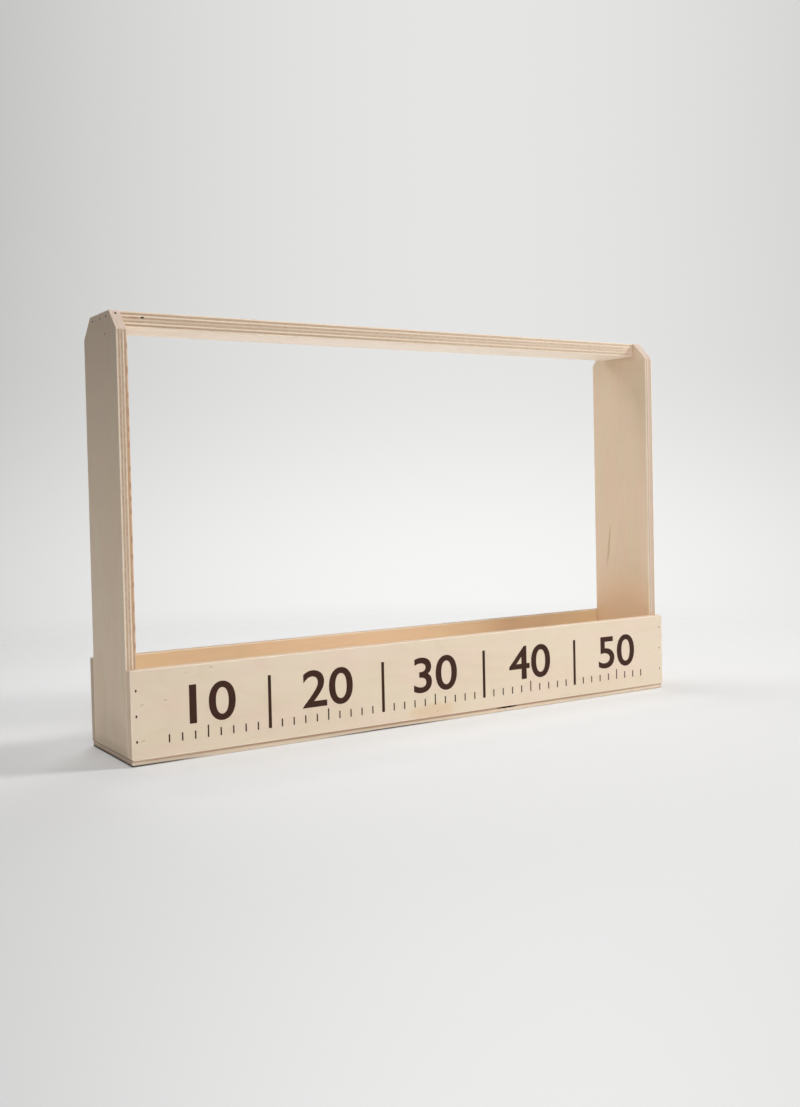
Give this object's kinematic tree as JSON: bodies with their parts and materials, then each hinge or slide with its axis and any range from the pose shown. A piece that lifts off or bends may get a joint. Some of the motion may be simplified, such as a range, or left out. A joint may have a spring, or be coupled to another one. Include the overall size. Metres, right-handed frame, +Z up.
{
  "type": "bottle carrier",
  "caption": "Wooden bottle carrier: a long plywood trough for one row of bottles between two tall uprights, carried by a board handle across their tops.",
  "frame": {"origin": "on the floor, in the middle of the carrier's footprint", "axes": "+X along the carrier towards the right upright, +Y from the front panel to the back panel, +Z up"},
  "size_m": [0.516, 0.089, 0.324],
  "materials": {
    "panel_birch": "sanded birch plywood, uncoated",
    "upright_birch": "sanded birch plywood, uncoated",
    "handle_birch": "sanded birch plywood, uncoated",
    "bottom_birch": "thin birch plywood, uncoated",
    "nail_steel": "dull steel wire",
    "print_ink": "matt dark brown screen print"
  },
  "bodies": {
    "root": {"bottom_board": "bottom_birch", "front_panel": "panel_birch", "back_panel": "panel_birch", "left_upright": "upright_birch", "right_upright": "upright_birch", "handle_board": "handle_birch", "front_left_nail_1": "nail_steel", "front_left_nail_2": "nail_steel", "front_left_nail_3": "nail_steel", "front_right_nail_1": "nail_steel", "front_right_nail_2": "nail_steel", "front_right_nail_3": "nail_steel", "back_left_nail_1": "nail_steel", "back_left_nail_2": "nail_steel", "back_left_nail_3": "nail_steel", "back_right_nail_1": "nail_steel", "back_right_nail_2": "nail_steel", "back_right_nail_3": "nail_steel", "handle_left_nail_1": "nail_steel", "handle_left_nail_2": "nail_steel", "handle_left_nail_3": "nail_steel", "handle_left_nail_4": "nail_steel", "handle_right_nail_1": "nail_steel", "handle_right_nail_2": "nail_steel", "handle_right_nail_3": "nail_steel", "handle_right_nail_4": "nail_steel", "bottom_front_nail_1": "nail_steel", "bottom_front_nail_2": "nail_steel", "bottom_front_nail_3": "nail_steel", "bottom_front_nail_4": "nail_steel", "bottom_front_nail_5": "nail_steel", "bottom_back_nail_1": "nail_steel", "bottom_back_nail_2": "nail_steel", "bottom_back_nail_3": "nail_steel", "bottom_back_nail_4": "nail_steel", "bottom_back_nail_5": "nail_steel", "bottom_left_nail_1": "nail_steel", "bottom_left_nail_2": "nail_steel", "bottom_right_nail_1": "nail_steel", "bottom_right_nail_2": "nail_steel"}
  },
  "joints": []
}
